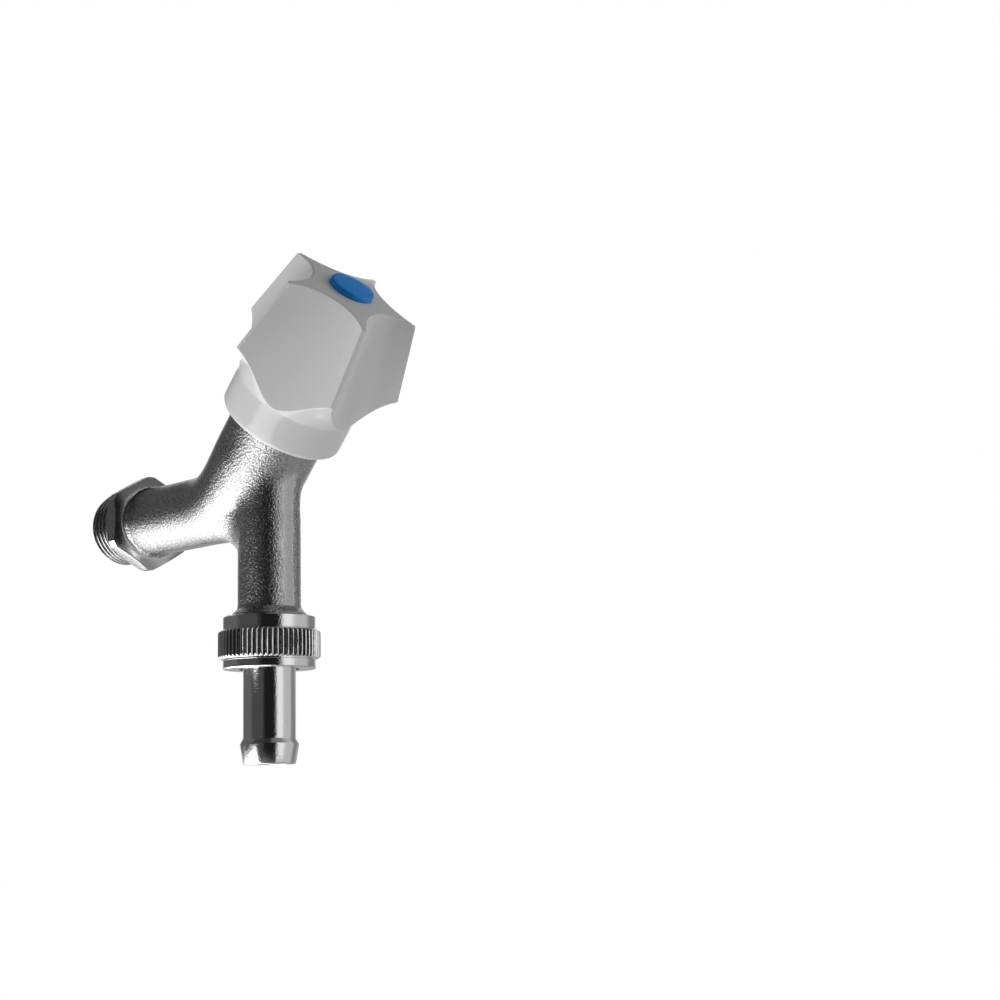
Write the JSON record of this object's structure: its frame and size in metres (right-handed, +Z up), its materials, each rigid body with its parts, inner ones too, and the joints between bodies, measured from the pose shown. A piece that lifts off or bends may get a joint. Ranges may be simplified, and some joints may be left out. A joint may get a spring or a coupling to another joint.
{
  "type": "wall tap with hose union",
  "caption": "Slanted wall tap with a fluted plastic handle and blue cap, a threaded wall inlet with a non-return valve, and a knurled union nut holding a barbed hose tail below.",
  "frame": {"origin": "on the inlet axis, where the inlet thread meets the hexagon's shoulder", "axes": "+Y into the wall along the inlet axis, +Z up, +X completes the right-handed frame; the stem leans up and towards -Y in the plane X = 0"},
  "size_m": [0.0441, 0.1188, 0.1294],
  "materials": {
    "cast_chrome": "satin",
    "polished_chrome": "polished",
    "brass": "machined",
    "steel": "brushed",
    "handle_grey": "gloss",
    "cap_blue": "gloss",
    "grey_plastic": "matt",
    "dark_plastic": "matt",
    "rubber": "matt",
    "fibre": "matt"
  },
  "bodies": {
    "tap_body": {"body": "cast_chrome", "check_cage": "grey_plastic", "check_guide": "grey_plastic", "check_o_ring": "rubber", "check_spring": "steel", "bonnet": "brass", "bonnet_gasket": "fibre"},
    "handle_group": {"handle": "handle_grey", "handle_screw": "steel", "index_cap": "cap_blue", "spindle": "brass", "spindle_washer": "grey_plastic", "lower_o_ring": "rubber", "upper_o_ring": "rubber", "spindle_clip": "steel"},
    "plug_group": {"valve_plug": "brass", "seat_washer": "rubber", "washer_nut": "brass"},
    "poppet_group": {"check_poppet": "dark_plastic", "check_seal": "rubber"},
    "tail_group": {"hose_tail": "polished_chrome", "hose_gasket": "rubber"},
    "nut_group": {"union_nut": "polished_chrome"}
  },
  "joints": [
    {"name": "handle_turn", "type": "hinge", "parent": "tap_body", "child": "handle_group", "pos_m": [0, -0.0476, 0], "axis": [0, -0.7071, 0.7071], "range_deg": [0, 720]},
    {"name": "plug_lift", "type": "slide", "parent": "tap_body", "child": "plug_group", "axis": [0, -0.7071, 0.7071], "range_m": [0, 0.004]},
    {"name": "check_open", "type": "slide", "parent": "tap_body", "child": "poppet_group", "axis": [0, -1, 0], "range_m": [0, 0.003], "stiffness_N_per_m": 20, "springref_m": -0.003, "deforming": ["check_spring"]},
    {"name": "tail_drop", "type": "slide", "parent": "tap_body", "child": "tail_group", "axis": [0, 0, -1], "range_m": [0, 0.00726]},
    {"name": "nut_turn", "type": "hinge", "parent": "tail_group", "child": "nut_group", "pos_m": [0, -0.0612, -0.038], "axis": [0, 0, -1], "range_deg": [0, 1440]}
  ],
  "couplings": [
    {"joint": "handle_turn", "follows": "plug_lift", "rad_per_m": 3141.6},
    {"joint": "nut_turn", "follows": "tail_drop", "rad_per_m": 3463.7}
  ]
}
